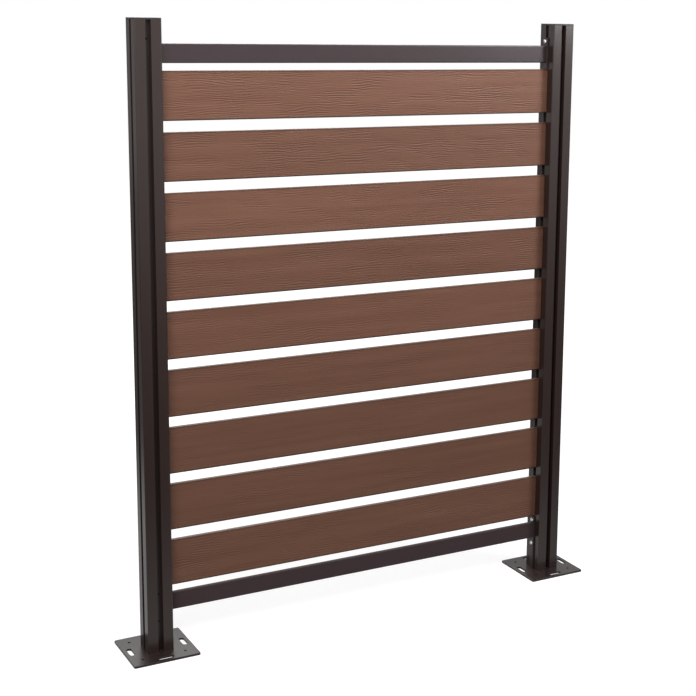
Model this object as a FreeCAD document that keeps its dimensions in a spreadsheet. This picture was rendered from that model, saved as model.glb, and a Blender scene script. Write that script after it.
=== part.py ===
import FreeCAD, Part

import math
import os

import Sketcher

# Garden privacy screen: two slotted posts on base plates, two rails, nine boards.
# Millimetres. +X runs along the panel to its right end, -Y is the front and +Z is up.
# The origin lies on the ground, midway between the two posts.

# ----------------------------------------------------------------------------
# Driving dimensions
# ----------------------------------------------------------------------------

SIZE_TABLE = [
    # name, millimetres
    ("clear_width", 1000),          # between the inner faces of the two posts
    ("post_width", 60),             # square post over its faces
    ("post_corner", 3),             # rounded outer corners of the post
    ("post_wall", 2),               # wall of the extrusion
    ("post_lip_round", 0.8),        # rounded lips of the grooves
    ("groove_width", 12),           # mouth of the groove in each face
    ("groove_depth", 15),           # face of the post to the groove's floor
    ("port_bore", 4.2),             # screw port in the extrusion
    ("port_bond", 1.1),             # how far a port's tube runs into the groove walls
    ("post_reach", 50),             # post above the top rail
    ("cap_thick", 4),               # lid of the post cap
    ("cap_round", 1),               # its upper edge
    ("cap_plug_depth", 12),         # plugs that reach into the post
    ("cap_fit", 0.15),              # clearance round each plug
    ("plate_width", 155),           # square base plate
    ("plate_thick", 5),
    ("plate_corner", 4),
    ("plate_edge_round", 0.8),
    ("slot_length", 38),            # end to end
    ("slot_width", 12),
    ("slot_offset", 62.5),          # centre of the plate to the slot's middle
    ("anchor_pitch", 100),          # square of four round anchor holes
    ("anchor_bore", 7),
    ("base_screw_length", 28),
    ("base_screw_head", 10),        # head diameter
    ("base_screw_sink", 0.4),       # head below the plate's underside
    ("base_screw_gap", 0.6),        # shank's clearance in the plate, on diameter
    ("screw_fit", 0.1),             # screw's core smaller than its bore, on diameter
    ("rail_height", 42),
    ("rail_wall", 1.5),
    ("rail_corner", 2.5),
    ("rail_inset", 0.5),            # rail's face behind the groove's lip, each side
    ("rail_end_gap", 0.2),          # rail's end to the bracket's face
    ("bottom_rail_rise", 85),       # base plate to the bottom rail
    ("bottom_gap", 18),             # bottom rail to the lowest board
    ("top_gap", 16),                # highest board to the top rail
    ("board_height", 108),
    ("board_gap", 24.5),            # between two boards
    ("board_play", 0.5),            # board to the groove's lip, each side
    ("board_entry", 12),            # how far a board's end enters the groove
    ("board_round", 1.5),           # rounded long edges
    ("spacer_depth", 8),            # from the groove's floor towards its mouth
    ("spacer_fit", 0.2),            # spacer to the groove's wall, each side
    ("bracket_width", 16),          # strip that lies on the post's inner face
    ("bracket_thick", 4),
    ("bracket_edge", 1),            # rounded long edges of the strip
    ("rib_depth", 6),               # rib that enters the groove
    ("rib_fit", 0.2),               # rib to the groove's wall, each side
    ("spigot_length", 22),          # tongue that enters the rail
    ("spigot_fit", 0.2),            # tongue to the rail's inner faces
    ("stack_play", 0.5),            # highest board to the top bracket
    ("strip_shoulder", 2.5),        # board's edge to the end of the outer strip
    ("top_bracket_reach", 19),      # bracket above the top rail
    ("bracket_screw_drop", 9.5),    # bracket's upper end to its screw
    ("foot_screw_rise", 69),        # base plate to the bottom bracket's lower screw
    ("bracket_screw_bore", 4.8),    # clearance hole in the bracket
    ("pan_head", 10),               # head diameter
    ("pan_head_height", 3),
    ("pan_head_round", 2),
    ("bracket_screw_length", 24),   # under the head
    ("recess_span", 5),             # cross recess of every screw
    ("recess_arm", 1.2),
    ("recess_depth", 1.6),
]

BOARD_COUNT = 9
COUNTERSINK_ANGLE = 90      # degrees, across the cone under the base screws' heads

DOC = FreeCAD.newDocument("garden_privacy_screen")
SHEET = DOC.addObject("Spreadsheet::Sheet", "Sizes")
for row, (alias, size) in enumerate(SIZE_TABLE, start=1):
    SHEET.set(f"A{row}", str(size))
    SHEET.setAlias(f"A{row}", alias)
DOC.recompute()

# ----------------------------------------------------------------------------
# Places that several pieces share, as expressions over the sheet
# ----------------------------------------------------------------------------

HALF_POST = "(Sizes.post_width / 2)"
POST_AXIS = "(Sizes.clear_width / 2 + Sizes.post_width / 2)"
POST_FACE = "(Sizes.clear_width / 2)"
GROOVE_SIDE = "(Sizes.groove_width / 2)"
GROOVE_FLOOR = "(Sizes.post_width / 2 - Sizes.groove_depth)"
VOID_SIDE = "(Sizes.groove_width / 2 + Sizes.post_wall)"
VOID_FLOOR = "(Sizes.post_width / 2 - Sizes.groove_depth - Sizes.post_wall)"
VOID_OUTER = "(Sizes.post_width / 2 - Sizes.post_wall)"
PORT_PLACE = f"(({VOID_SIDE} + {VOID_FLOOR}) / 2)"
PORT_RADIUS = f"(abs({VOID_FLOOR} - {VOID_SIDE}) / sqrt(2) + Sizes.port_bond)"

BOTTOM_RAIL_LOW = "(Sizes.plate_thick + Sizes.bottom_rail_rise)"
BOTTOM_RAIL_MID = f"({BOTTOM_RAIL_LOW} + Sizes.rail_height / 2)"
BOTTOM_RAIL_TOP = f"({BOTTOM_RAIL_LOW} + Sizes.rail_height)"
STACK_LOW = f"({BOTTOM_RAIL_TOP} + Sizes.bottom_gap)"
BOARD_PITCH = "(Sizes.board_height + Sizes.board_gap)"
STACK_TOP = f"({STACK_LOW} + {BOARD_COUNT - 1} * {BOARD_PITCH} + Sizes.board_height)"
TOP_RAIL_LOW = f"({STACK_TOP} + Sizes.top_gap)"
TOP_RAIL_MID = f"({TOP_RAIL_LOW} + Sizes.rail_height / 2)"
TOP_RAIL_TOP = f"({TOP_RAIL_LOW} + Sizes.rail_height)"
POST_TOP = f"({TOP_RAIL_TOP} + Sizes.post_reach)"
POST_LENGTH = f"({POST_TOP} - Sizes.plate_thick)"

TOP_BRACKET_TOP = f"({TOP_RAIL_TOP} + Sizes.top_bracket_reach)"
TOP_SCREW = f"({TOP_BRACKET_TOP} - Sizes.bracket_screw_drop)"
BOTTOM_STRIP_TOP = f"({STACK_LOW} - Sizes.strip_shoulder)"
BOTTOM_SCREW = f"({BOTTOM_STRIP_TOP} - Sizes.bracket_screw_drop)"
FOOT_SCREW = "(Sizes.plate_thick + Sizes.foot_screw_rise)"
BRACKET_SCREWS = [TOP_SCREW, BOTTOM_SCREW, FOOT_SCREW]

RAIL_THICK = "(Sizes.groove_width - 2 * Sizes.rail_inset)"
SCREW_CORE = "((Sizes.port_bore - Sizes.screw_fit) / 2)"

SIDES = {"left": -1, "right": 1}
NODES = []


# ----------------------------------------------------------------------------
# Helpers
# ----------------------------------------------------------------------------

def measure(expression):
    """Present value of an expression over the sheet, in millimetres."""
    result = SHEET.evalExpression(expression)
    return float(getattr(result, "Value", result))


def new_body(label):
    """Body that is one sub-part; its label names the node."""
    body = DOC.addObject("PartDesign::Body", label)
    body.Label = label
    return body


def new_sketch(body, name, plane="XY_Plane"):
    """Sketch on one of the body's own origin planes."""
    sketch = body.newObject("Sketcher::SketchObject", name)
    support = next(part for part in body.Origin.OriginFeatures if part.Role == plane)
    sketch.AttachmentSupport = (support, [""])
    sketch.MapMode = "FlatFace"
    return sketch


def bind(sketch, kind, first, point, name, expression):
    """Distance of one point from the sketch's origin, bound to the sheet."""
    constraint = Sketcher.Constraint(kind, -1, 1, first, point, measure(expression))
    index = sketch.addConstraint(constraint)
    sketch.renameConstraint(index, name)
    sketch.setExpression(f"Constraints.{name}", expression)


def add_outline(sketch, tag, corners):
    """Closed outline of straight edges through the given pairs of expressions."""
    points = [FreeCAD.Vector(measure(x), measure(y), 0) for x, y in corners]
    first = sketch.GeometryCount
    count = len(points)
    for index in range(count):
        edge = Part.LineSegment(points[index], points[(index + 1) % count])
        sketch.addGeometry(edge, False)
    for index in range(count):
        following = first + (index + 1) % count
        sketch.addConstraint(Sketcher.Constraint("Coincident", first + index, 2, following, 1))
    for index, (x, y) in enumerate(corners):
        bind(sketch, "DistanceX", first + index, 1, f"{tag}_x{index}", x)
        bind(sketch, "DistanceY", first + index, 1, f"{tag}_y{index}", y)


def add_rectangle(sketch, tag, left, right, low, high):
    """Rectangle between four expressions."""
    add_outline(sketch, tag, [(left, low), (right, low), (right, high), (left, high)])


def add_circle(sketch, tag, x, y, radius):
    """Circle whose centre and radius are bound to the sheet."""
    centre = FreeCAD.Vector(measure(x), measure(y), 0)
    circle = Part.Circle(centre, FreeCAD.Vector(0, 0, 1), measure(radius))
    index = sketch.addGeometry(circle, False)
    bind(sketch, "DistanceX", index, 3, f"{tag}_x", x)
    bind(sketch, "DistanceY", index, 3, f"{tag}_y", y)
    size = sketch.addConstraint(Sketcher.Constraint("Radius", index, measure(radius)))
    sketch.renameConstraint(size, f"{tag}_r")
    sketch.setExpression(f"Constraints.{tag}_r", radius)


def quadrants(x, y):
    """The four mirror images of a place about both axes of a sketch."""
    return [(f"{a} * {x}", f"{b} * {y}") for a in (-1, 1) for b in (-1, 1)]


def extrude(body, sketch, name, length, reverse=False, symmetric=False):
    """Pad of a sketch by a bound length."""
    pad = body.newObject("PartDesign::Pad", name)
    pad.Profile = sketch
    pad.SideType = "Symmetric" if symmetric else "One side"
    pad.Reversed = reverse
    pad.setExpression("Length", length)
    DOC.recompute()
    return pad


def cut_through(body, sketch, name):
    """Pocket through everything on both sides of the sketch; it must take metal away."""
    before = body.Shape.Volume
    pocket = body.newObject("PartDesign::Pocket", name)
    pocket.Profile = sketch
    pocket.Type = "ThroughAll"
    pocket.SideType = "Symmetric"
    DOC.recompute()
    if body.Shape.Volume >= before:
        raise RuntimeError(f"{name} cuts nothing")
    return pocket


def cut_blind(body, sketch, name, depth, reverse):
    """Pocket of a bound depth; it must take metal away."""
    before = body.Shape.Volume
    pocket = body.newObject("PartDesign::Pocket", name)
    pocket.Profile = sketch
    pocket.Reversed = reverse
    pocket.setExpression("Length", depth)
    DOC.recompute()
    if body.Shape.Volume >= before:
        raise RuntimeError(f"{name} cuts nothing")
    return pocket


def round_edges(body, name, radius, wanted):
    """Fillet on each edge of the tip that the given test picks."""
    tip = body.Tip
    names = [f"Edge{i}" for i, edge in enumerate(tip.Shape.Edges, start=1) if wanted(edge)]
    if not names:
        raise RuntimeError(f"{name} finds no edge")
    fillet = body.newObject("PartDesign::Fillet", name)
    fillet.Base = (tip, names)
    fillet.setExpression("Radius", radius)
    DOC.recompute()
    return fillet


def close(value, target):
    """Two lengths agree to a thousandth of a millimetre."""
    return abs(value - target) < 1e-3


def is_line(edge, axis):
    """Straight edge that runs along one axis."""
    if edge.Curve.TypeId != "Part::GeomLine":
        return False
    direction = edge.Curve.Direction
    return close(abs(getattr(direction, axis)), 1)


def at_corner(edge, first, second, axes):
    """Middle of an edge lies at one mirror image of a pair of offsets."""
    middle = edge.CenterOfMass
    one = abs(getattr(middle, axes[0]))
    two = abs(getattr(middle, axes[1]))
    return close(one, first) and close(two, second)


def place(item, x="0", y="0", z="0"):
    """Placement of a sub-part, bound to the sheet."""
    item.setExpression("Placement.Base.x", x)
    item.setExpression("Placement.Base.y", y)
    item.setExpression("Placement.Base.z", z)


def keep(item):
    """Register a finished sub-part as a node."""
    NODES.append(item)
    return item


def group(label, members):
    """Several separate solids of one kind that share a node."""
    compound = DOC.addObject("Part::Compound", label)
    compound.Label = label
    compound.Links = members
    return keep(compound)


# ----------------------------------------------------------------------------
# Posts
# ----------------------------------------------------------------------------

def four_way_outline(outer, side, floor):
    """Corners of a square section with one rectangular groove in each face."""
    return [
        (side, f"-{outer}"), (outer, f"-{outer}"), (outer, f"-{side}"),
        (floor, f"-{side}"), (floor, side), (outer, side),
        (outer, outer), (side, outer), (side, floor),
        (f"-{side}", floor), (f"-{side}", outer), (f"-{outer}", outer),
        (f"-{outer}", side), (f"-{floor}", side), (f"-{floor}", f"-{side}"),
        (f"-{outer}", f"-{side}"), (f"-{outer}", f"-{outer}"), (f"-{side}", f"-{outer}"),
        (f"-{side}", f"-{floor}"), (side, f"-{floor}"),
    ]


def make_post(side):
    """Extruded post: grooved skin, hollow corners, four screw ports, drilled floors."""
    post = new_body(f"post_{side}")
    section = new_sketch(post, f"post_{side}_section")
    add_outline(section, "skin", four_way_outline(HALF_POST, GROOVE_SIDE, GROOVE_FLOOR))
    add_outline(section, "void", four_way_outline(VOID_OUTER, VOID_SIDE, VOID_FLOOR))
    extrude(post, section, f"post_{side}_skin", POST_LENGTH)

    half = measure(HALF_POST)
    lip = measure(GROOVE_SIDE)
    round_edges(
        post, f"post_{side}_corners", "Sizes.post_corner",
        lambda edge: is_line(edge, "z") and at_corner(edge, half, half, "xy"))
    round_edges(
        post, f"post_{side}_lips", "Sizes.post_lip_round",
        lambda edge: is_line(edge, "z")
        and (at_corner(edge, half, lip, "xy") or at_corner(edge, lip, half, "xy")))

    ports = new_sketch(post, f"post_{side}_ports")
    bores = new_sketch(post, f"post_{side}_bores")
    for index, (x, y) in enumerate(quadrants(PORT_PLACE, PORT_PLACE)):
        add_circle(ports, f"port{index}", x, y, PORT_RADIUS)
        add_circle(bores, f"bore{index}", x, y, "Sizes.port_bore / 2")
    extrude(post, ports, f"post_{side}_port_tubes", POST_LENGTH)
    cut_through(post, bores, f"post_{side}_port_bores")

    for plane in ("XZ_Plane", "YZ_Plane"):
        drilled = new_sketch(post, f"post_{side}_drilled_{plane[:2]}", plane)
        for index, height in enumerate(BRACKET_SCREWS):
            local = f"{height} - Sizes.plate_thick"
            add_circle(drilled, f"hole{index}", "0", local, "Sizes.port_bore / 2")
        cut_through(post, drilled, f"post_{side}_floor_holes_{plane[:2]}")

    place(post, x=f"{SIDES[side]} * {POST_AXIS}", z="Sizes.plate_thick")
    return keep(post)


# ----------------------------------------------------------------------------
# Post caps
# ----------------------------------------------------------------------------

def make_cap(side):
    """Flat lid with four square plugs in the hollow corners of the post."""
    cap = new_body(f"post_cap_{side}")
    lid = new_sketch(cap, f"post_cap_{side}_lid")
    add_rectangle(lid, "lid", f"-{HALF_POST}", HALF_POST, f"-{HALF_POST}", HALF_POST)
    extrude(cap, lid, f"post_cap_{side}_plate", "Sizes.cap_thick")

    half = measure(HALF_POST)
    thick = measure("Sizes.cap_thick")
    round_edges(
        cap, f"post_cap_{side}_corners", "Sizes.post_corner",
        lambda edge: is_line(edge, "z") and at_corner(edge, half, half, "xy"))
    round_edges(
        cap, f"post_cap_{side}_rim", "Sizes.cap_round",
        lambda edge: close(edge.CenterOfMass.z, thick))

    near = f"({PORT_PLACE} + {PORT_RADIUS} + Sizes.cap_fit)"
    far = f"({VOID_OUTER} - Sizes.cap_fit)"
    plugs = new_sketch(cap, f"post_cap_{side}_plug_section")
    for index, (a, b) in enumerate(((-1, -1), (-1, 1), (1, -1), (1, 1))):
        add_rectangle(
            plugs, f"plug{index}",
            f"{a} * {near}", f"{a} * {far}", f"{b} * {near}", f"{b} * {far}")
    extrude(cap, plugs, f"post_cap_{side}_plugs", "Sizes.cap_plug_depth", reverse=True)

    place(cap, x=f"{SIDES[side]} * {POST_AXIS}", z=POST_TOP)
    return keep(cap)


# ----------------------------------------------------------------------------
# Base plates
# ----------------------------------------------------------------------------

def add_slot(sketch, tag, x, y, along):
    """Slot with round ends, its long side along the sketch's first or second axis."""
    reach = "(Sizes.slot_length / 2 - Sizes.slot_width / 2)"
    radius = measure("Sizes.slot_width / 2")
    quarter = math.pi / 2
    turn = 0 if along == "x" else quarter
    arcs = []
    for end in (1, -1):
        if along == "x":
            place_x, place_y = f"{x} + {end} * {reach}", y
        else:
            place_x, place_y = x, f"{y} + {end} * {reach}"
        centre = FreeCAD.Vector(measure(place_x), measure(place_y), 0)
        circle = Part.Circle(centre, FreeCAD.Vector(0, 0, 1), radius)
        start = turn - quarter if end == 1 else turn + quarter
        arc = sketch.addGeometry(Part.ArcOfCircle(circle, start, start + 2 * quarter), False)
        bind(sketch, "DistanceX", arc, 3, f"{tag}_x{len(arcs)}", place_x)
        bind(sketch, "DistanceY", arc, 3, f"{tag}_y{len(arcs)}", place_y)
        arcs.append(arc)
    for tail, head in ((arcs[0], arcs[1]), (arcs[1], arcs[0])):
        start = sketch.getPoint(tail, 2)
        finish = sketch.getPoint(head, 1)
        side = sketch.addGeometry(Part.LineSegment(start, finish), False)
        sketch.addConstraint(Sketcher.Constraint("Tangent", tail, 2, side, 1))
        sketch.addConstraint(Sketcher.Constraint("Tangent", side, 2, head, 1))
    size = sketch.addConstraint(Sketcher.Constraint("Radius", arcs[0], radius))
    sketch.renameConstraint(size, f"{tag}_r")
    sketch.setExpression(f"Constraints.{tag}_r", "Sizes.slot_width / 2")


def make_base_plate(side):
    """Square plate with four slots, four anchor holes and four countersunk holes."""
    plate = new_body(f"base_plate_{side}")
    half = "(Sizes.plate_width / 2)"
    square = new_sketch(plate, f"base_plate_{side}_square")
    add_rectangle(square, "square", f"-{half}", half, f"-{half}", half)
    extrude(plate, square, f"base_plate_{side}_pad", "Sizes.plate_thick")

    edge_place = measure(half)
    thick = measure("Sizes.plate_thick")
    round_edges(
        plate, f"base_plate_{side}_corners", "Sizes.plate_corner",
        lambda edge: is_line(edge, "z") and at_corner(edge, edge_place, edge_place, "xy"))
    round_edges(
        plate, f"base_plate_{side}_rim", "Sizes.plate_edge_round",
        lambda edge: close(edge.CenterOfMass.z, thick))

    slots = new_sketch(plate, f"base_plate_{side}_slot_shape")
    for end in (-1, 1):
        offset = f"{end} * Sizes.slot_offset"
        add_slot(slots, f"side{end + 1}", offset, "0", "y")
        add_slot(slots, f"face{end + 1}", "0", offset, "x")
    cut_through(plate, slots, f"base_plate_{side}_slots")

    anchors = new_sketch(plate, f"base_plate_{side}_anchor_circles")
    pitch = "(Sizes.anchor_pitch / 2)"
    for index, (x, y) in enumerate(quadrants(pitch, pitch)):
        add_circle(anchors, f"anchor{index}", x, y, "Sizes.anchor_bore / 2")
    cut_through(plate, anchors, f"base_plate_{side}_anchor_holes")

    seats = new_sketch(plate, f"base_plate_{side}_seat_circles")
    for index, (x, y) in enumerate(quadrants(PORT_PLACE, PORT_PLACE)):
        add_circle(seats, f"seat{index}", x, y, "Sizes.port_bore / 2")
    DOC.recompute()
    before = plate.Shape.Volume
    hole = plate.newObject("PartDesign::Hole", f"base_plate_{side}_countersinks")
    hole.Profile = seats
    hole.Reversed = True
    hole.DepthType = "ThroughAll"
    hole.ThreadType = "None"
    hole.HoleCutType = "Countersink"
    hole.HoleCutCustomValues = True
    hole.setExpression("Diameter", "Sizes.port_bore + Sizes.base_screw_gap")
    hole.setExpression("HoleCutDiameter", "Sizes.base_screw_head + 2 * Sizes.base_screw_sink")
    hole.HoleCutCountersinkAngle = COUNTERSINK_ANGLE
    DOC.recompute()
    if plate.Shape.Volume >= before:
        raise RuntimeError("the countersunk holes cut nothing")

    place(plate, x=f"{SIDES[side]} * {POST_AXIS}")
    return keep(plate)


# ----------------------------------------------------------------------------
# Screws
# ----------------------------------------------------------------------------

def add_recess(body, plane_height, reverse):
    """Cross recess in a screw's head, cut from the given height along Z."""
    arm = "(Sizes.recess_arm / 2)"
    span = "(Sizes.recess_span / 2)"
    cross = new_sketch(body, f"{body.Name}_cross")
    cross.setExpression("AttachmentOffset.Base.z", plane_height)
    add_outline(cross, "cross", [
        (arm, f"-{span}"), (arm, f"-{arm}"), (span, f"-{arm}"), (span, arm),
        (arm, arm), (arm, span), (f"-{arm}", span), (f"-{arm}", arm),
        (f"-{span}", arm), (f"-{span}", f"-{arm}"), (f"-{arm}", f"-{arm}"),
        (f"-{arm}", f"-{span}"),
    ])
    DOC.recompute()
    cut_blind(body, cross, f"{body.Name}_recess", "Sizes.recess_depth", reverse)


def revolve(body, profile, name):
    """Full turn of a half profile about the sketch's upright axis."""
    turned = body.newObject("PartDesign::Revolution", name)
    turned.Profile = profile
    turned.ReferenceAxis = (profile, ["V_Axis"])
    turned.Angle = 360
    DOC.recompute()
    return turned


def make_base_screw(name, x, y):
    """Countersunk screw that rises through the base plate into a port of the post."""
    screw = new_body(name)
    head = "(Sizes.base_screw_head / 2)"
    tip = f"({SCREW_CORE} / 2)"
    profile = new_sketch(screw, f"{name}_profile", "XZ_Plane")
    add_outline(profile, "half", [
        ("0", "0"), (head, "0"), (SCREW_CORE, f"{head} - {SCREW_CORE}"),
        (SCREW_CORE, f"Sizes.base_screw_length - {tip}"),
        (tip, "Sizes.base_screw_length"), ("0", "Sizes.base_screw_length"),
    ])
    revolve(screw, profile, f"{name}_turned")
    add_recess(screw, "0", True)
    place(screw, x=x, y=y, z="Sizes.base_screw_sink")
    return screw


def make_bracket_screw(name, side, height):
    """Pan-head screw through a rail bracket into the floor of the groove."""
    screw = new_body(name)
    head = "(Sizes.pan_head / 2)"
    tip = f"({SCREW_CORE} / 2)"
    length = "Sizes.bracket_screw_length"
    profile = new_sketch(screw, f"{name}_profile", "XZ_Plane")
    add_outline(profile, "half", [
        ("0", f"-{length}"), (tip, f"-{length}"), (SCREW_CORE, f"-{length} + {tip}"),
        (SCREW_CORE, "0"), (head, "0"), (head, "Sizes.pan_head_height"),
        ("0", "Sizes.pan_head_height"),
    ])
    revolve(screw, profile, f"{name}_turned")
    crown = measure("Sizes.pan_head_height")
    rim = measure(head)
    round_edges(
        screw, f"{name}_crown", "Sizes.pan_head_round",
        lambda edge: edge.Curve.TypeId == "Part::GeomCircle"
        and close(edge.Curve.Radius, rim) and close(edge.CenterOfMass.z, crown))
    add_recess(screw, "Sizes.pan_head_height", False)
    quarter_turn = FreeCAD.Rotation(FreeCAD.Vector(0, 1, 0), -90 * SIDES[side])
    screw.Placement = FreeCAD.Placement(FreeCAD.Vector(0, 0, 0), quarter_turn)
    place(screw, x=f"{SIDES[side]} * ({POST_FACE} - Sizes.bracket_thick)", z=height)
    return screw


def make_screws(side):
    """Both groups of screws at one post."""
    centre = f"{SIDES[side]} * {POST_AXIS}"
    base_screws = []
    for index, (x, y) in enumerate(quadrants(PORT_PLACE, PORT_PLACE), start=1):
        base_screws.append(make_base_screw(f"base_screw_{side}_{index}", f"{centre} + {x}", y))
    group(f"base_screws_{side}", base_screws)
    bracket_screws = []
    for index, height in enumerate(BRACKET_SCREWS, start=1):
        name = f"bracket_screw_{side}_{index}"
        bracket_screws.append(make_bracket_screw(name, side, height))
    group(f"bracket_screws_{side}", bracket_screws)


# ----------------------------------------------------------------------------
# Rails and their brackets
# ----------------------------------------------------------------------------

def make_rail(label, height):
    """Slim hollow rail with rounded long edges, between the two brackets."""
    rail = new_body(label)
    half_thick = f"({RAIL_THICK} / 2)"
    half_height = "(Sizes.rail_height / 2)"
    inner_thick = f"({half_thick} - Sizes.rail_wall)"
    inner_height = f"({half_height} - Sizes.rail_wall)"
    section = new_sketch(rail, f"{label}_section", "YZ_Plane")
    add_rectangle(
        section, "skin", f"-{half_thick}", half_thick, f"-{half_height}", half_height)
    add_rectangle(
        section, "void", f"-{inner_thick}", inner_thick, f"-{inner_height}", inner_height)
    length = "Sizes.clear_width - 2 * Sizes.bracket_thick - 2 * Sizes.rail_end_gap"
    extrude(rail, section, f"{label}_pad", length, symmetric=True)
    thick = measure(half_thick)
    tall = measure(half_height)
    round_edges(
        rail, f"{label}_edges", "Sizes.rail_corner",
        lambda edge: is_line(edge, "x") and at_corner(edge, thick, tall, "yz"))
    place(rail, z=height)
    return keep(rail)


def make_bracket(label, side, strip, rib, rail_middle, screws):
    """Strip on the post's inner face, with a rib in the groove and a tongue in the rail."""
    bracket = new_body(label)
    low, high = strip
    half = "(Sizes.bracket_width / 2)"
    face = new_sketch(bracket, f"{label}_face", "YZ_Plane")
    add_rectangle(face, "strip", f"-{half}", half, low, high)
    extrude(bracket, face, f"{label}_strip", "Sizes.bracket_thick", reverse=True)

    front = measure("Sizes.bracket_thick")
    wide = measure(half)
    round_edges(
        bracket, f"{label}_edges", "Sizes.bracket_edge",
        lambda edge: is_line(edge, "z") and at_corner(edge, front, wide, "xy"))

    rib_low, rib_high = rib
    rib_half = f"({GROOVE_SIDE} - Sizes.rib_fit)"
    groove = new_sketch(bracket, f"{label}_rib_face", "YZ_Plane")
    add_rectangle(groove, "rib", f"-{rib_half}", rib_half, rib_low, rib_high)
    extrude(bracket, groove, f"{label}_rib", "Sizes.rib_depth")

    slim = f"({RAIL_THICK} / 2 - Sizes.rail_wall - Sizes.spigot_fit)"
    tall = "(Sizes.rail_height / 2 - Sizes.rail_wall - Sizes.spigot_fit)"
    tongue = new_sketch(bracket, f"{label}_tongue_face", "YZ_Plane")
    add_rectangle(
        tongue, "tongue", f"-{slim}", slim, f"{rail_middle} - {tall}", f"{rail_middle} + {tall}")
    reach = "Sizes.bracket_thick + Sizes.spigot_length"
    extrude(bracket, tongue, f"{label}_tongue", reach, reverse=True)

    holes = new_sketch(bracket, f"{label}_hole_circles", "YZ_Plane")
    for index, height in enumerate(screws):
        add_circle(holes, f"hole{index}", "0", height, "Sizes.bracket_screw_bore / 2")
    cut_through(bracket, holes, f"{label}_holes")

    half_turn = FreeCAD.Rotation(FreeCAD.Vector(0, 0, 1), 0 if side == "right" else 180)
    bracket.Placement = FreeCAD.Placement(FreeCAD.Vector(0, 0, 0), half_turn)
    place(bracket, x=f"{SIDES[side]} * {POST_FACE}")
    return keep(bracket)


def make_brackets(side):
    """Bracket of the top rail, and the longer one that stands on the base plate."""
    top_low = f"({STACK_TOP} + Sizes.stack_play)"
    make_bracket(
        f"rail_bracket_top_{side}", side,
        (f"({STACK_TOP} + Sizes.strip_shoulder)", TOP_BRACKET_TOP), (top_low, TOP_BRACKET_TOP),
        TOP_RAIL_MID, [TOP_SCREW])
    make_bracket(
        f"rail_bracket_bottom_{side}", side,
        ("Sizes.plate_thick", BOTTOM_STRIP_TOP), ("Sizes.plate_thick", STACK_LOW),
        BOTTOM_RAIL_MID, [BOTTOM_SCREW, FOOT_SCREW])


# ----------------------------------------------------------------------------
# Boards and the spacers between them
# ----------------------------------------------------------------------------

def board_low(number):
    """Lower edge of a board; board 1 is the highest."""
    return f"({STACK_LOW} + {BOARD_COUNT - number} * {BOARD_PITCH})"


def make_board(number):
    """Solid board whose two ends stand in the grooves."""
    label = f"board_{number}"
    board = new_body(label)
    half_thick = f"({GROOVE_SIDE} - Sizes.board_play)"
    section = new_sketch(board, f"{label}_section", "YZ_Plane")
    add_rectangle(section, "skin", f"-{half_thick}", half_thick, "0", "Sizes.board_height")
    length = "Sizes.clear_width + 2 * Sizes.board_entry"
    extrude(board, section, f"{label}_pad", length, symmetric=True)
    round_edges(
        board, f"{label}_edges", "Sizes.board_round", lambda edge: is_line(edge, "x"))
    place(board, z=board_low(number))
    return keep(board)


def make_spacers(side):
    """Blocks on the groove's floor that carry each board above the next."""
    blocks = []
    width = "2 * (Sizes.groove_width / 2 - Sizes.spacer_fit)"
    if side == "right":
        start = f"{POST_FACE} + Sizes.groove_depth - Sizes.spacer_depth"
    else:
        start = f"-{POST_FACE} - Sizes.groove_depth"
    for number in range(2, BOARD_COUNT + 1):
        block = DOC.addObject("Part::Box", f"spacer_{side}_{number}")
        block.setExpression("Length", "Sizes.spacer_depth")
        block.setExpression("Width", width)
        block.setExpression("Height", "Sizes.board_gap")
        upper_edge = f"{board_low(number)} + Sizes.board_height"
        place(block, x=start, y=f"-({width}) / 2", z=upper_edge)
        blocks.append(block)
    return group(f"spacers_{side}", blocks)


# ----------------------------------------------------------------------------
# The whole screen
# ----------------------------------------------------------------------------

def build():
    """Every sub-part of the screen."""
    for side in SIDES:
        make_post(side)
        make_cap(side)
        make_base_plate(side)
        make_brackets(side)
        make_screws(side)
        make_spacers(side)
    make_rail("top_rail", TOP_RAIL_MID)
    make_rail("bottom_rail", BOTTOM_RAIL_MID)
    for number in range(1, BOARD_COUNT + 1):
        make_board(number)
    DOC.recompute()


def check():
    """Stop before anything is written if an object failed or a shape is not sound."""
    for item in DOC.Objects:
        if "Invalid" in item.State or "Error" in item.State:
            raise RuntimeError(f"{item.Name} failed: {item.State}")
    for node in NODES:
        if node.Shape.isNull() or not node.Shape.isValid():
            raise RuntimeError(f"{node.Label} has no sound shape")


def write():
    """One STEP file for each node."""
    os.makedirs("parts", exist_ok=True)
    for node in NODES:
        node.Shape.exportStep(f"parts/{node.Label}.step")
        box = node.Shape.BoundBox
        print(
            f"{node.Label}: {len(node.Shape.Solids)} solid(s),"
            f" x {box.XMin:.1f} to {box.XMax:.1f}, y {box.YMin:.1f} to {box.YMax:.1f},"
            f" z {box.ZMin:.1f} to {box.ZMax:.1f}")


build()
check()
write()
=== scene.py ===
# %% [markdown]
# # A garden privacy screen
# Two slotted square posts stand on base plates. A slim rail joins them at the top and
# at the bottom, and nine embossed boards lie between the rails, with open gaps.
# The metal parts are right as the frame brings them, so they only get a finish. The
# boards get new surfaces, because the wood grain pressed into them is a real relief.

# %% Load the frame
import math

import bpy
import numpy as np
from mathutils import Matrix, Vector


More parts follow.
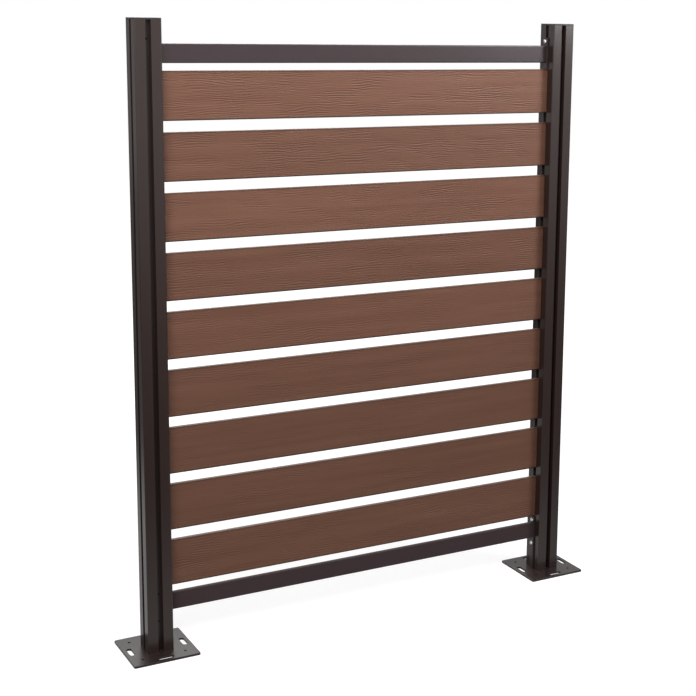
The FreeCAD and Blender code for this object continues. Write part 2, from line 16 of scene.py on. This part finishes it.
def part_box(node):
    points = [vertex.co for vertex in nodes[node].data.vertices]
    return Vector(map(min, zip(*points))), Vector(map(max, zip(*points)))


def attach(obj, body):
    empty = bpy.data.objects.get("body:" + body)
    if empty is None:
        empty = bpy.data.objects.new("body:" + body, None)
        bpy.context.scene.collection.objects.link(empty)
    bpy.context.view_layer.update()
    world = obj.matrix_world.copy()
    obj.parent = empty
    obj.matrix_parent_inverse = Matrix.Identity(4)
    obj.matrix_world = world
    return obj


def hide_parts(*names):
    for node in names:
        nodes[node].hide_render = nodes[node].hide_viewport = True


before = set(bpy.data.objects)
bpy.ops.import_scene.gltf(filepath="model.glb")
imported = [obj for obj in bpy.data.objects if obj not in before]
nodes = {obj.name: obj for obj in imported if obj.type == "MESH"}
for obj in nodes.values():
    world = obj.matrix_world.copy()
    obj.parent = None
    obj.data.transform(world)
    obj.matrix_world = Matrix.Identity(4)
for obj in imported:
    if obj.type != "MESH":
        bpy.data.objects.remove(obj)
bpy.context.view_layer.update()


# %% [markdown]
# ## From arrays to a mesh
# Every new surface here is a sheet of points that is closed in one direction, like the
# skin of a bar. It could be made with bmesh, one face at a time, but whole arrays are
# shorter and much faster, and they keep the order of the points plain to see.

# %% Closed bar from a grid of points
def closed_bar(name, points):
    """Mesh over points[t, s]: t runs once round the section, s from one end to the other.

    The sheet is closed in t. The section is its own mirror image, point t facing point
    T - 1 - t, so each end is closed by a ladder of four-cornered faces between the halves.
    """
    around, along = points.shape[:2]
    index = np.arange(around * along).reshape(around, along)
    after = np.roll(index, -1, axis=0)
    skin = np.stack([index[:, :-1], index[:, 1:], after[:, 1:], after[:, :-1]], axis=-1)
    half = around // 2
    near = index[: half - 1]
    facing = index[::-1][: half - 1]
    near_up = index[1:half]
    facing_up = index[::-1][1:half]
    ladder = np.stack([near, near_up, facing_up, facing], axis=-1)
    first_end = ladder[:, 0]
    last_end = ladder[:, -1][:, ::-1]
    faces = np.concatenate([skin.reshape(-1, 4), first_end, last_end])
    mesh = bpy.data.meshes.new(name)
    mesh.vertices.add(around * along)
    mesh.vertices.foreach_set("co", points.reshape(-1).astype(np.float32))
    mesh.loops.add(faces.size)
    mesh.loops.foreach_set("vertex_index", faces.reshape(-1).astype(np.int32))
    mesh.polygons.add(len(faces))
    mesh.polygons.foreach_set("loop_start", np.arange(0, faces.size, 4, dtype=np.int32))
    smooth = np.ones(len(faces), dtype=bool)
    smooth[-len(first_end) - len(last_end):] = False
    mesh.polygons.foreach_set("use_smooth", smooth)
    mesh.update(calc_edges=True)
    mesh.validate()
    piece = bpy.data.objects.new(name, mesh)
    bpy.context.scene.collection.objects.link(piece)
    return piece


def signed_volume(mesh):
    """Sum over the triangles of a . (b x c) / 6, which is positive if they face outwards."""
    mesh.calc_loop_triangles()
    places = np.empty(len(mesh.vertices) * 3, dtype=np.float32)
    mesh.vertices.foreach_get("co", places)
    corners = np.empty(len(mesh.loop_triangles) * 3, dtype=np.int32)
    mesh.loop_triangles.foreach_get("vertices", corners)
    a, b, c = places.reshape(-1, 3)[corners.reshape(-1, 3)].transpose(1, 0, 2).astype(float)
    return float(np.einsum("ij,ij->i", a, np.cross(b, c)).sum() / 6)


def store(mesh, name, values):
    """Keep one number for each point of a mesh under a name, for its finish to read."""
    attribute = mesh.attributes.new(name, "FLOAT", "POINT")
    attribute.data.foreach_set("value", values.reshape(-1).astype(np.float32))


# %% [markdown]
# ## The grain
# A heated roller presses the grain into the board: shallow valleys about five
# millimetres apart, each a few centimetres long, which fork and bend like the rings of a
# flat-sawn plank. Lines could be drawn one by one, but random noise that keeps only one
# spacing across the board and long waves along it gives them all at once, and a slow
# sideways drift bends them. A second, slower noise lets them fade out in patches.

# %% Grain relief
GRAIN_SPACING = 0.0053
GRAIN_SPREAD = 0.28
GRAIN_LENGTH = 0.030
DRIFT = 0.0013
DRIFT_ACROSS = 0.040
DRIFT_ALONG = 0.085
DRIFT_ROOM = 4 * DRIFT
PATCH_ACROSS = 0.035
PATCH_ALONG = 0.10
PATCH_CONTRAST = 1.4
BITE_MIDDLE = 0.58
BITE_SWING = 0.42
FLATTEN = 1.1


def filtered_noise(random, shape, steps, keep):
    """Random numbers whose waves are each scaled by keep(waves across, waves along)."""
    waves_across = np.abs(np.fft.fftfreq(shape[0], steps[0]))[:, None]
    waves_along = np.fft.rfftfreq(shape[1], steps[1])[None, :]
    spectrum = np.fft.rfft2(random.standard_normal(shape)) * keep(waves_across, waves_along)
    field = np.fft.irfft2(spectrum, s=shape)
    return field / field.std()


def smooth_noise(random, shape, steps, across, along):
    """Noise with hills about as wide as the two given lengths."""
    return filtered_noise(
        random, shape, steps,
        lambda v, u: np.exp(-((v * across) ** 2) - (u * along) ** 2))


def grain_depth(random, rows, columns, steps):
    """Depth of the relief from 0, the face, to 1, the deepest valley, on rows by columns.

    ridges(z, x) has one spacing across and long waves along; it is read at z + drift(z, x),
    pressed towards flat tops by a tanh, and faded in patches where the roller bit less.
    The noise is made a margin of rows larger on both sides, as room for the drift.
    """
    margin = int(DRIFT_ROOM / steps[0])
    shape = (rows + 2 * margin, columns + columns % 2)
    ridges = filtered_noise(
        random, shape, steps,
        lambda v, u: np.exp(-(((v * GRAIN_SPACING - 1) / GRAIN_SPREAD) ** 2))
        * np.exp(-((u * GRAIN_LENGTH) ** 2)))
    drift = DRIFT * smooth_noise(random, shape, steps, DRIFT_ACROSS, DRIFT_ALONG) / steps[0]
    patches = smooth_noise(random, shape, steps, PATCH_ACROSS, PATCH_ALONG)
    place = np.arange(margin, margin + rows)[:, None] + np.clip(
        drift[margin:margin + rows], 1 - margin, margin - 2)
    whole = np.floor(place).astype(int)
    part = place - whole
    lower = np.take_along_axis(ridges, whole, axis=0)
    upper = np.take_along_axis(ridges, whole + 1, axis=0)
    read = (lower * (1 - part) + upper * part)[:, :columns]
    patch = patches[margin:margin + rows, :columns]
    bite = BITE_MIDDLE + BITE_SWING * np.tanh(PATCH_CONTRAST * patch)
    return (0.5 - 0.5 * np.tanh(FLATTEN * read)) * bite


# %% [markdown]
# ## A board
# The section is a tall rectangle with eased long edges. The points of its two faces are
# pushed inwards by the relief, never outwards, so the board keeps its thickness. The
# relief stops short of the eased edges, which stay smooth. Three values are stored on the
# points for the finish: the depth, for painted shade in the valleys, a margin of painted
# shade that is 1 on the lower edge, where the underside is in shadow and the board reads
# almost black, and less on the upper one, and a tone.
# The roller bit unevenly: the grain reads strongest on the top boards and is faint on the
# fifth to the eighth, so each board has its own share of the relief. Side by side the
# boards also look a few per cent lighter or darker, so each board's brown is scaled by a
# listed factor.

# %% Board surfaces
BOARD_EDGE = 0.0015
RELIEF = 0.00064
BOARD_BITE = (1.12, 1.00, 0.92, 0.90, 0.72, 0.58, 0.48, 0.60, 1.05)
BOARD_TONE = (1.09, 1.00, 1.07, 0.955, 1.01, 0.92, 0.895, 0.925, 0.96)
ROW_STEP = 0.0010
COLUMN_STEP = 0.0050
EDGE_STEPS = 4
FOOT_POINTS = 4
FADE = 0.0025
# Width of the band of painted shade along a board's lower edge, and its share on the upper
# edge.
PAINTED_EDGE_SHADE_WIDTH = 0.0020
HEAD_PAINTED_SHADE = 0.6
FROM_MIDDLE = 0.0008
SEED = 400


def half_section(low, high):
    """Front half of a board's section as y and z: foot, round, face, round, head.

    The rounds are quarter circles of radius BOARD_EDGE; the face is evenly spaced rows,
    whose place among the points is given too. The foot starts FROM_MIDDLE before the
    middle of the board, so that the two halves have no point in common.
    """
    depth = (high.y - low.y) / 2
    turn = np.linspace(0, math.pi / 2, EDGE_STEPS + 1)
    foot_y = np.linspace(-FROM_MIDDLE, -depth + BOARD_EDGE, FOOT_POINTS)
    rows = int(round((high.z - low.z - 2 * BOARD_EDGE) / ROW_STEP)) + 1
    face_z = np.linspace(low.z + BOARD_EDGE, high.z - BOARD_EDGE, rows)
    low_round_y = -depth + BOARD_EDGE - BOARD_EDGE * np.sin(turn[1:-1])
    low_round_z = low.z + BOARD_EDGE - BOARD_EDGE * np.cos(turn[1:-1])
    y = np.concatenate([
        foot_y, low_round_y, np.full(rows, -depth), low_round_y[::-1], foot_y[::-1]])
    z = np.concatenate([
        np.full(FOOT_POINTS, low.z), low_round_z, face_z,
        (low.z + high.z) - low_round_z[::-1], np.full(FOOT_POINTS, high.z)])
    first_row = FOOT_POINTS + EDGE_STEPS - 1
    return y, z, slice(first_row, first_row + rows)


def make_board(number):
    """Embossed board in the place of its frame node.

    The section is carried along X, and each face point is moved inwards along Y by the
    relief's height times its depth there. Front and back have grain of their own.
    """
    node = f"board_{number}"
    low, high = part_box(node)
    y, z, face_rows = half_section(low, high)
    columns = int(round((high.x - low.x) / COLUMN_STEP)) + 1
    x = np.linspace(low.x, high.x, columns)
    rows = face_rows.stop - face_rows.start
    random = np.random.default_rng(SEED + number)
    face_z = z[face_rows]
    from_edge = np.minimum(face_z - face_z[0], face_z[-1] - face_z)
    fade = np.clip(from_edge / FADE, 0, 1)[:, None]
    bite = BOARD_BITE[number - 1]
    steps = ((high.z - low.z) / rows, (high.x - low.x) / columns)
    halves = []
    for side in (1, -1):
        depth = np.zeros((len(y), columns))
        depth[face_rows] = grain_depth(random, rows, columns, steps) * fade * bite
        grid = np.empty((len(y), columns, 3))
        grid[..., 0] = x[None, :]
        grid[..., 1] = side * (y[:, None] + RELIEF * depth)
        grid[..., 2] = z[:, None]
        halves.append((grid, depth))
    (front, front_depth), (back, back_depth) = halves
    # Painted shade along the lower edge, where the rounded underside is in shadow, and a
    # weaker painted shade along the upper edge.
    from_foot = np.clip(1 - (z - low.z - PAINTED_EDGE_SHADE_WIDTH) / PAINTED_EDGE_SHADE_WIDTH, 0, 1)
    from_head = np.clip(1 - (high.z - PAINTED_EDGE_SHADE_WIDTH - z) / PAINTED_EDGE_SHADE_WIDTH, 0, 1)
    margin = np.repeat((from_foot + HEAD_PAINTED_SHADE * from_head)[:, None], columns, axis=1)
    piece = closed_bar(f"{node}_embossed", np.concatenate([front, back[::-1]]))
    if signed_volume(piece.data) < 0:
        piece.data.flip_normals()
    depths = np.concatenate([front_depth, back_depth[::-1]])
    store(piece.data, "grain", depths)
    store(piece.data, "margin", np.concatenate([margin, margin[::-1]]))
    store(piece.data, "tone", np.full(depths.size, BOARD_TONE[number - 1]))
    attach(piece, "root")
    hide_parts(node)
    return piece


boards = [make_board(number + 1) for number in range(len(BOARD_TONE))]
triangles = sum(2 * len(board.data.polygons) for board in boards)
print("boards:", len(boards), "triangles:", triangles)

# %% [markdown]
# ## Finishes
# A finish is a small tree of nodes. The helpers below only save typing: one makes a
# material with its shader, one adds a node, and one adds stretched noise, which is the
# base of streaks, specks and orange peel alike.

# %% Node helpers
def new_finish(name, specular, roughness=0.5, metallic=0.0):
    """Material with one Principled shader; the plain values sit on the shader's sockets."""
    material = bpy.data.materials.new(name)
    material.use_nodes = True
    shader = material.node_tree.nodes["Principled BSDF"]
    shader.inputs["Roughness"].default_value = roughness
    shader.inputs["Specular IOR Level"].default_value = specular
    shader.inputs["Metallic"].default_value = metallic
    return material, shader


def add_node(material, kind, **inputs):
    """Node of a kind, with values for its input sockets by name."""
    node = material.node_tree.nodes.new(kind)
    for name, value in inputs.items():
        node.inputs[name.replace("_", " ")].default_value = value
    return node


def link(material, source, target):
    """Wire from an output socket to an input socket."""
    material.node_tree.links.new(source, target)


def stretched_noise(material, scale, detail=3.0, roughness=0.55):
    """Noise on the piece's own coordinates, in waves per metre along X, Y and Z."""
    place = add_node(material, "ShaderNodeTexCoord")
    mapping = add_node(material, "ShaderNodeMapping", Scale=scale)
    noise = add_node(
        material, "ShaderNodeTexNoise", Scale=1.0, Detail=detail, Roughness=roughness)
    link(material, place.outputs["Object"], mapping.inputs["Vector"])
    link(material, mapping.outputs["Vector"], noise.inputs["Vector"])
    return noise.outputs["Fac"]


def ramp(material, source, stops):
    """Colour ramp over a value; stops are (position, colour)."""
    node = add_node(material, "ShaderNodeValToRGB")
    link(material, source, node.inputs["Fac"])
    elements = node.color_ramp.elements
    for element, (position, colour) in zip(elements, stops[:1] + stops[-1:]):
        element.position = position
        element.color = (*colour, 1)
    for position, colour in stops[1:-1]:
        elements.new(position).color = (*colour, 1)
    return node.outputs["Color"]


def in_range(material, source, low, high):
    """Value from 0..1 mapped to low..high."""
    node = add_node(material, "ShaderNodeMapRange", To_Min=low, To_Max=high)
    link(material, source, node.inputs["Value"])
    return node.outputs["Result"]


def scaled(material, colour, factor):
    """Colour, fixed or from another node, times a value that varies over the surface."""
    node = add_node(material, "ShaderNodeVectorMath")
    node.operation = "SCALE"
    if isinstance(colour, tuple):
        node.inputs[0].default_value = colour
    else:
        link(material, colour, node.inputs[0])
    link(material, factor, node.inputs["Scale"])
    return node.outputs["Vector"]


def stored(material, name):
    """Value that the piece keeps on its points under a name."""
    node = add_node(material, "ShaderNodeAttribute")
    node.attribute_name = name
    return node.outputs["Fac"]


def bump(material, shader, height, strength, distance):
    """Fine relief that is too small for the mesh."""
    node = add_node(material, "ShaderNodeBump", Strength=strength, Distance=distance)
    link(material, height, node.inputs["Height"])
    link(material, node.outputs["Normal"], shader.inputs["Normal"])


# %% [markdown]
# ## Wood-plastic composite
# The boards are brown right through: wood flour in plastic, brushed and embossed. The
# colour wanders a little in long streaks, the valleys of the grain get painted shade, the
# lower and upper edges a painted shadow, and fine fibres run along the board between the
# pressed lines.

# %% Composite finish
BROWNS = [
    (0.30, (0.134, 0.059, 0.037)),
    (0.50, (0.150, 0.068, 0.043)),
    (0.70, (0.166, 0.077, 0.050)),
]
STREAK_WAVES = (2.2, 6.0, 42.0)
FIBRE_WAVES = (26.0, 160.0, 780.0)
# Painted shade: the grain's valleys are darker than the faces, and the board's edges darker
# still.
FACE_PAINTED_SHADE, VALLEY_PAINTED_SHADE = 1.03, 0.90
EDGE_PAINTED_SHADE = 0.22
BOARD_GLOSS = (0.46, 0.58)

composite, shader = new_finish("embossed_composite", specular=0.32)
brown = ramp(composite, stretched_noise(composite, STREAK_WAVES, detail=4.0), BROWNS)
# The grain depth paints shade into the valleys, the tone scales each board, and the margin
# paints shade along the lower and upper edges.
for shade in (
        in_range(composite, stored(composite, "grain"), FACE_PAINTED_SHADE, VALLEY_PAINTED_SHADE),
        stored(composite, "tone"),
        in_range(composite, stored(composite, "margin"), 1.0, EDGE_PAINTED_SHADE)):
    brown = scaled(composite, brown, shade)
link(composite, brown, shader.inputs["Base Color"])
fibres = stretched_noise(composite, FIBRE_WAVES, detail=2.0)
bump(composite, shader, fibres, strength=0.35, distance=0.00022)
link(composite, in_range(composite, fibres, *BOARD_GLOSS), shader.inputs["Roughness"])
for board in boards:
    board.data.materials.append(composite)
print("composite nodes:", len(composite.node_tree.nodes))

# %% [markdown]
# ## Powder coat
# Posts, rails, brackets and base plates are coated dark brown. A powder coat melts into a
# satin skin with a very fine orange peel, so it needs an even colour, a middle roughness
# and a bump of about a millimetre's spacing. The groups of parts look slightly different
# in colour and gloss, so the same recipe is used with other numbers. The lower rail is
# the dullest: its upper face stays dark, where a glossy one would mirror the backdrop.

# %% Powder coat finish
MOTTLE_WAVES = (7.0, 7.0, 7.0)
PEEL_WAVES = (620.0, 620.0, 620.0)
GLOSS_WAVES = (30.0, 30.0, 6.0)
GLOSS_SWING = 0.03


def powder_coat(name, colour, roughness, specular):
    """Satin coat: colour with a faint mottle, orange peel bump, slightly uneven gloss."""
    material, shader = new_finish(name, specular)
    level = in_range(
        material, stretched_noise(material, MOTTLE_WAVES, detail=4.0), 0.88, 1.12)
    link(material, scaled(material, colour, level), shader.inputs["Base Color"])
    peel = stretched_noise(material, PEEL_WAVES, detail=2.0)
    bump(material, shader, peel, strength=0.12, distance=0.0001)
    gloss = in_range(
        material, stretched_noise(material, GLOSS_WAVES),
        roughness - GLOSS_SWING, roughness + GLOSS_SWING)
    link(material, gloss, shader.inputs["Roughness"])
    return material


def dress(names, material):
    """Give every named frame piece one finish."""
    for name in names:
        mesh = nodes[name].data
        mesh.materials.clear()
        mesh.materials.append(material)
    print(material.name, "on", len(names), "pieces")


def both_sides(*kinds):
    """Names of the pieces that come once on the left and once on the right."""
    return [f"{kind}_{side}" for kind in kinds for side in ("left", "right")]


# Finish, the pieces that wear it, its colour, roughness and specular level.
COATS = [
    ("post_coat", both_sides("post"), (0.026, 0.0150, 0.0128), 0.25, 0.50),
    ("plate_coat", both_sides("base_plate"), (0.024, 0.0150, 0.0140), 0.30, 0.32),
    ("rail_coat", ["top_rail"], (0.034, 0.0195, 0.0225), 0.29, 0.50),
    ("lower_rail_coat", ["bottom_rail"], (0.056, 0.0385, 0.0405), 0.56, 0.08),
    ("bracket_coat", both_sides("rail_bracket_top", "rail_bracket_bottom"),
     (0.030, 0.0180, 0.0165), 0.34, 0.45),
]
for name, pieces, colour, roughness, specular in COATS:
    dress(pieces, powder_coat(name, colour, roughness, specular))

# %% [markdown]
# ## Plastic and steel
# The caps are moulded plastic close to the coat's colour, with a fine sparked texture.
# The spacers sit deep in the grooves and are plain dark plastic. The screws are bright
# stainless steel, turned, so their gloss is uneven in fine rings; a little noise does it.

# %% Plastic and steel finishes
CLOUD_WAVES = (18.0, 18.0, 18.0)
SPARK_WAVES = (1500.0, 1500.0, 1500.0)
WEAR_WAVES = (900.0, 900.0, 900.0)
STEEL_GREYS = [(0.3, (0.60, 0.60, 0.60)), (0.7, (0.82, 0.81, 0.80))]
STEEL_GLOSS = (0.18, 0.36)


def moulded(name, colour, roughness):
    """Moulded plastic: fine sparked bump and a faint cloudiness."""
    material, shader = new_finish(name, specular=0.40, roughness=roughness)
    level = in_range(material, stretched_noise(material, CLOUD_WAVES), 0.90, 1.10)
    link(material, scaled(material, colour, level), shader.inputs["Base Color"])
    sparks = stretched_noise(material, SPARK_WAVES, detail=1.0)
    bump(material, shader, sparks, strength=0.2, distance=0.0001)
    return material


def bright_steel(name):
    """Stainless steel: metallic, light grey, with uneven fine gloss."""
    material, shader = new_finish(name, specular=0.5, metallic=1.0)
    wear = stretched_noise(material, WEAR_WAVES)
    link(material, ramp(material, wear, STEEL_GREYS), shader.inputs["Base Color"])
    link(material, in_range(material, wear, *STEEL_GLOSS), shader.inputs["Roughness"])
    return material


dress(both_sides("post_cap"), moulded("cap_plastic", (0.022, 0.017, 0.017), 0.48))
dress(both_sides("spacers"), moulded("spacer_plastic", (0.008, 0.007, 0.007), 0.6))
dress(both_sides("base_screws", "bracket_screws"), bright_steel("screw_steel"))

# %% [markdown]
# ## Floor
# The floor reads white to the camera but still takes a soft shadow: most of what the
# camera sees is a steady glow, the rest is lit paint, and far away the glow takes over.
# In reflections the floor is a white sheet round the screen. It falls off to a dim room
# and turns pale again far in front, as in a studio, which gives the satin metal its
# bright foot, dark middle and lighter top.

# %% Floor
def for_ray(material, ray, shader, others):
    """First shader for the rays of the named kind, the other one for all others."""
    path = add_node(material, "ShaderNodeLightPath")
    node = add_node(material, "ShaderNodeMixShader")
    link(material, path.outputs[ray], node.inputs[0])
    link(material, others, node.inputs[1])
    link(material, shader, node.inputs[2])
    return node.outputs[0]


FLOOR_GLOW = 0.74
FLOOR_PAINT = 0.42
FLOOR_BOUNCE = 0.16
SHEET_SHAPE = (0.45, 1.0, 1.0)
SHEET_MIDDLE = (0.0, -0.35, 0.0)
SHEET_NEAR = 0.45
SHEET_FAR = 1.5
SHEET_BRIGHT = 0.66
ROOM_DIM = 0.15
SHADOW_REACH = 1.0
FRONT_NEAR = -2.0
FRONT_FAR = -8.0
FRONT_GLOW = 0.45

ground = bpy.data.materials.new("white_sheet")
ground.use_nodes = True
ground.node_tree.nodes.remove(ground.node_tree.nodes["Principled BSDF"])
glow = add_node(ground, "ShaderNodeEmission")
paint = add_node(ground, "ShaderNodeBsdfDiffuse", Color=(FLOOR_PAINT,) * 3 + (1,))
seen = add_node(ground, "ShaderNodeAddShader")
link(ground, glow.outputs[0], seen.inputs[0])
link(ground, paint.outputs[0], seen.inputs[1])
bounce = add_node(ground, "ShaderNodeBsdfDiffuse", Color=(FLOOR_BOUNCE,) * 3 + (1,))
place = add_node(ground, "ShaderNodeTexCoord")
squeezed = add_node(ground, "ShaderNodeMapping", Scale=SHEET_SHAPE, Location=SHEET_MIDDLE)
link(ground, place.outputs["Object"], squeezed.inputs["Vector"])
distance = add_node(ground, "ShaderNodeVectorMath")
distance.operation = "LENGTH"
link(ground, squeezed.outputs["Vector"], distance.inputs[0])
far_glow = add_node(
    ground, "ShaderNodeMapRange", From_Min=SHADOW_REACH, From_Max=3 * SHADOW_REACH,
    To_Min=FLOOR_GLOW, To_Max=1.0)
link(ground, distance.outputs["Value"], far_glow.inputs["Value"])
link(ground, far_glow.outputs["Result"], glow.inputs["Strength"])
falloff = add_node(
    ground, "ShaderNodeMapRange", From_Min=SHEET_NEAR, From_Max=SHEET_FAR,
    To_Min=SHEET_BRIGHT, To_Max=ROOM_DIM)
falloff.interpolation_type = "SMOOTHSTEP"
link(ground, distance.outputs["Value"], falloff.inputs["Value"])
parts = add_node(ground, "ShaderNodeSeparateXYZ")
link(ground, place.outputs["Object"], parts.inputs[0])
front = add_node(
    ground, "ShaderNodeMapRange", From_Min=FRONT_NEAR, From_Max=FRONT_FAR,
    To_Min=0.0, To_Max=FRONT_GLOW)
link(ground, parts.outputs["Y"], front.inputs["Value"])
both = add_node(ground, "ShaderNodeMath")
both.operation = "ADD"
link(ground, falloff.outputs["Result"], both.inputs[0])
link(ground, front.outputs["Result"], both.inputs[1])
mirrored = add_node(ground, "ShaderNodeEmission")
link(ground, both.outputs[0], mirrored.inputs["Strength"])
surface = for_ray(ground, "Is Glossy Ray", mirrored.outputs[0], bounce.outputs[0])
surface = for_ray(ground, "Is Camera Ray", seen.outputs[0], surface)
link(ground, surface, ground.node_tree.nodes["Material Output"].inputs["Surface"])

FLOOR_HALF = 9.0
floor_mesh = bpy.data.meshes.new("floor")
corners = FLOOR_HALF * np.array([(-1, -1, 0), (1, -1, 0), (1, 1, 0), (-1, 1, 0)])
floor_mesh.from_pydata(corners.tolist(), [], [(0, 1, 2, 3)])
floor_mesh.materials.append(ground)
floor = bpy.data.objects.new("floor", floor_mesh)
bpy.context.scene.collection.objects.link(floor)
print("floor:", 2 * FLOOR_HALF, "m wide, nodes:", len(ground.node_tree.nodes))

# %% [markdown]
# ## Surroundings
# The world does three jobs, told apart by the kind of ray. The camera sees plain white.
# Matt surfaces get a weak even light. The satin metal mirrors a room that is white in
# front of the screen, where the lamps stand, and grey straight behind it.

# %% Surroundings
WHITE = (1, 1, 1, 1)
AMBIENT = 0.20
ROOM = [(0.10, (1.0,) * 3), (0.88, (0.80,) * 3), (0.98, (0.31,) * 3)]

world = bpy.data.worlds.new("studio")
bpy.context.scene.world = world
world.use_nodes = True
even_light = world.node_tree.nodes["Background"]
even_light.inputs["Color"].default_value = WHITE
even_light.inputs["Strength"].default_value = AMBIENT
white = add_node(world, "ShaderNodeBackground", Color=WHITE, Strength=1.0)
room = add_node(world, "ShaderNodeBackground", Strength=1.0)
direction = add_node(world, "ShaderNodeTexCoord")
direction_parts = add_node(world, "ShaderNodeSeparateXYZ")
link(world, direction.outputs["Generated"], direction_parts.inputs[0])
depth = add_node(world, "ShaderNodeMapRange", From_Min=-1.0, From_Max=1.0)
link(world, direction_parts.outputs["Y"], depth.inputs["Value"])
link(world, ramp(world, depth.outputs["Result"], ROOM), room.inputs["Color"])
surface = for_ray(world, "Is Glossy Ray", room.outputs[0], even_light.outputs[0])
surface = for_ray(world, "Is Camera Ray", white.outputs[0], surface)
link(world, surface, world.node_tree.nodes["World Output"].inputs["Surface"])
print("surroundings nodes:", len(world.node_tree.nodes))

# %% [markdown]
# ## Lamps
# The boards are lightest at the top and darken softly beside both posts. One lamp in
# front would shade only one of the two ends, so there are two soft ones, high on the
# left and on the right, with a narrow strip above the top boards. A small lamp close to
# the right post gives the sheen at its top, and a wide one behind lights the backs.

# %% Lamps
def soft_lamp(name, place, aim, size, power):
    """Rectangular area lamp at a place, turned to aim; size in metres, power in watts."""
    data = bpy.data.lights.new(name, "AREA")
    data.shape = "RECTANGLE"
    data.size, data.size_y = size
    data.energy = power
    lamp = bpy.data.objects.new(name, data)
    direction = Vector(aim) - Vector(place)
    lamp.rotation_euler = direction.to_track_quat("-Z", "Y").to_euler()
    lamp.location = place
    bpy.context.scene.collection.objects.link(lamp)


# Name, place, the point that it is turned to, size and power.
LAMPS = [
    ("right", (1.80, -1.86, 2.34), (0.3, 0.0, 1.0), (1.0, 1.2), 37.0),
    ("left", (-1.85, -1.90, 2.40), (-0.3, 0.0, 1.0), (1.4, 1.2), 61.5),
    ("top", (0.25, -0.95, 2.55), (0.2, 0.0, 1.2), (2.2, 0.4), 15.5),
    ("near", (1.12, -0.84, 1.58), (0.55, 0.0, 1.43), (0.35, 0.25), 2.6),
    ("back", (0.4, 2.8, 2.6), (0.0, 0.0, 0.7), (2.6, 1.6), 72.0),
]
for lamp in LAMPS:
    soft_lamp(*lamp)
print("lamps:", len(LAMPS))

# %% [markdown]
# ## Camera
# The camera stands left of the left post, at about the height of the post caps, and looks
# to the right and a little down. The photograph is framed far off the middle of its lens,
# which keeps the posts upright. Other views keep the same shift and would cut the posts
# with all of it, so the lens is shifted less and the camera is tilted for the rest. The
# place and the angles are those that keep every corner nearest to the photograph's.

# %% Camera
IMAGE = 696
SENSOR = 36.0
EYE = (-1.492880, -2.973834, 1.441282)
YAW, PITCH, ROLL = 0.529369, -0.180533, 0.017428
FOCAL = 1416.665
CENTRE = (455.0, 276.0)


def aim_camera(yaw, pitch, roll):
    """Columns right, up and backwards of a camera turned by the three angles, in radians."""
    forward = Vector((
        math.sin(yaw) * math.cos(pitch), math.cos(yaw) * math.cos(pitch), math.sin(pitch)))
    level = Vector((math.cos(yaw), -math.sin(yaw), 0.0))
    upright = level.cross(forward)
    right = level * math.cos(roll) + upright * math.sin(roll)
    up = upright * math.cos(roll) - level * math.sin(roll)
    return Matrix((right, up, -forward)).transposed()


camera_data = bpy.data.cameras.new("camera")
camera_data.sensor_width = SENSOR
camera_data.lens = FOCAL / IMAGE * SENSOR
camera_data.shift_x = (IMAGE / 2 - CENTRE[0]) / IMAGE
camera_data.shift_y = (CENTRE[1] - IMAGE / 2) / IMAGE
camera = bpy.data.objects.new("camera", camera_data)
camera.matrix_world = Matrix.Translation(EYE) @ aim_camera(YAW, PITCH, ROLL).to_4x4()
bpy.context.scene.collection.objects.link(camera)
bpy.context.scene.camera = camera
bpy.context.scene.view_settings.view_transform = "Standard"
print("lens:", round(camera_data.lens, 2))
print("shift:", round(camera_data.shift_x, 3), round(camera_data.shift_y, 3))
